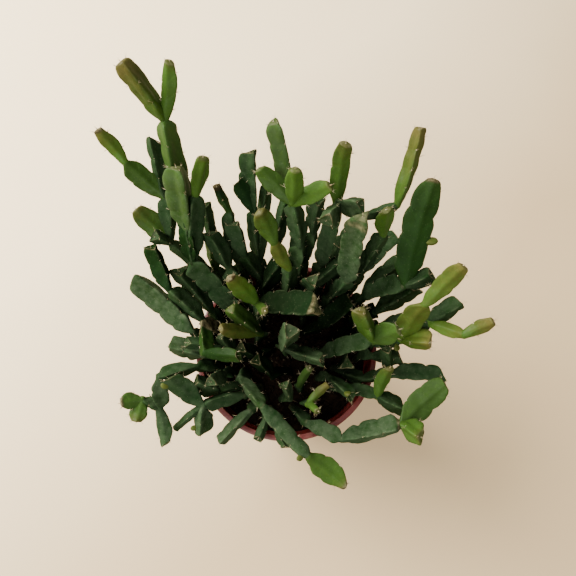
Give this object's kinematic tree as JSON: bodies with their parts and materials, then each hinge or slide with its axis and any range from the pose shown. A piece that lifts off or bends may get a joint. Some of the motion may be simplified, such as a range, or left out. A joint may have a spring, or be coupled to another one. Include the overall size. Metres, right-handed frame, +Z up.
{
  "type": "potted rhipsalis",
  "caption": "Jointed cactus with thick two-winged and three-winged notched segments, many stems rooted in a small terracotta-red plastic nursery pot full of soil.",
  "frame": {"origin": "middle of the pot's flat underside, on the surface it stands on", "axes": "+Z up; -Y is the side over which the long front stem trails; +X to the right as seen from there"},
  "size_m": [0.1824, 0.1697, 0.2087],
  "materials": {
    "pot": "satin moulded terracotta-red plastic",
    "soil": "matt dark crumbly potting soil",
    "stem": "waxy green plant skin with a soft sheen"
  },
  "bodies": {
    "root": {"pot": "pot", "soil": "soil", "stem_tall_left": "stem", "stem_left_fork": "stem", "stem_left_cork": "stem", "stem_left_broad": "stem", "stem_left_knob": "stem", "stem_left_star": "stem", "stem_left_stub": "stem", "stem_low_left": "stem", "stem_low_mid": "stem", "stem_low_star": "stem", "stem_front_left": "stem", "stem_front_stub": "stem", "stem_front_long": "stem", "stem_trail": "stem", "stem_right_low": "stem", "stem_right_tuft": "stem", "stem_right_tip": "stem", "stem_right_grey": "stem", "stem_front_knob": "stem", "stem_centre_tip": "stem", "stem_centre_white": "stem", "stem_right_arm": "stem", "stem_right_green": "stem", "stem_right_bow": "stem", "stem_paddle": "stem", "stem_right_rough": "stem", "stem_far_right": "stem", "stem_far_right_bright": "stem", "stem_near_olive": "stem", "stem_top_right": "stem", "stem_crown": "stem", "stem_crown_back": "stem", "stem_mid_leaf": "stem", "stem_back_grey": "stem", "stem_back_left": "stem", "stem_back_left_thin": "stem", "stem_mid_big": "stem", "stem_mid_low": "stem", "stem_mid_spot": "stem", "stem_mid_dark": "stem", "stem_mid_arm": "stem", "stem_left_dark": "stem", "stem_back_dark": "stem", "stem_back_mid": "stem", "stem_back_right": "stem", "stem_mid_right": "stem", "stem_inner_right": "stem", "stem_inner_left": "stem", "stem_low_inner": "stem", "stem_low_dark": "stem", "stem_middle": "stem", "stem_right_inner": "stem", "stem_back_core": "stem", "stem_front_short": "stem"}
  },
  "joints": []
}
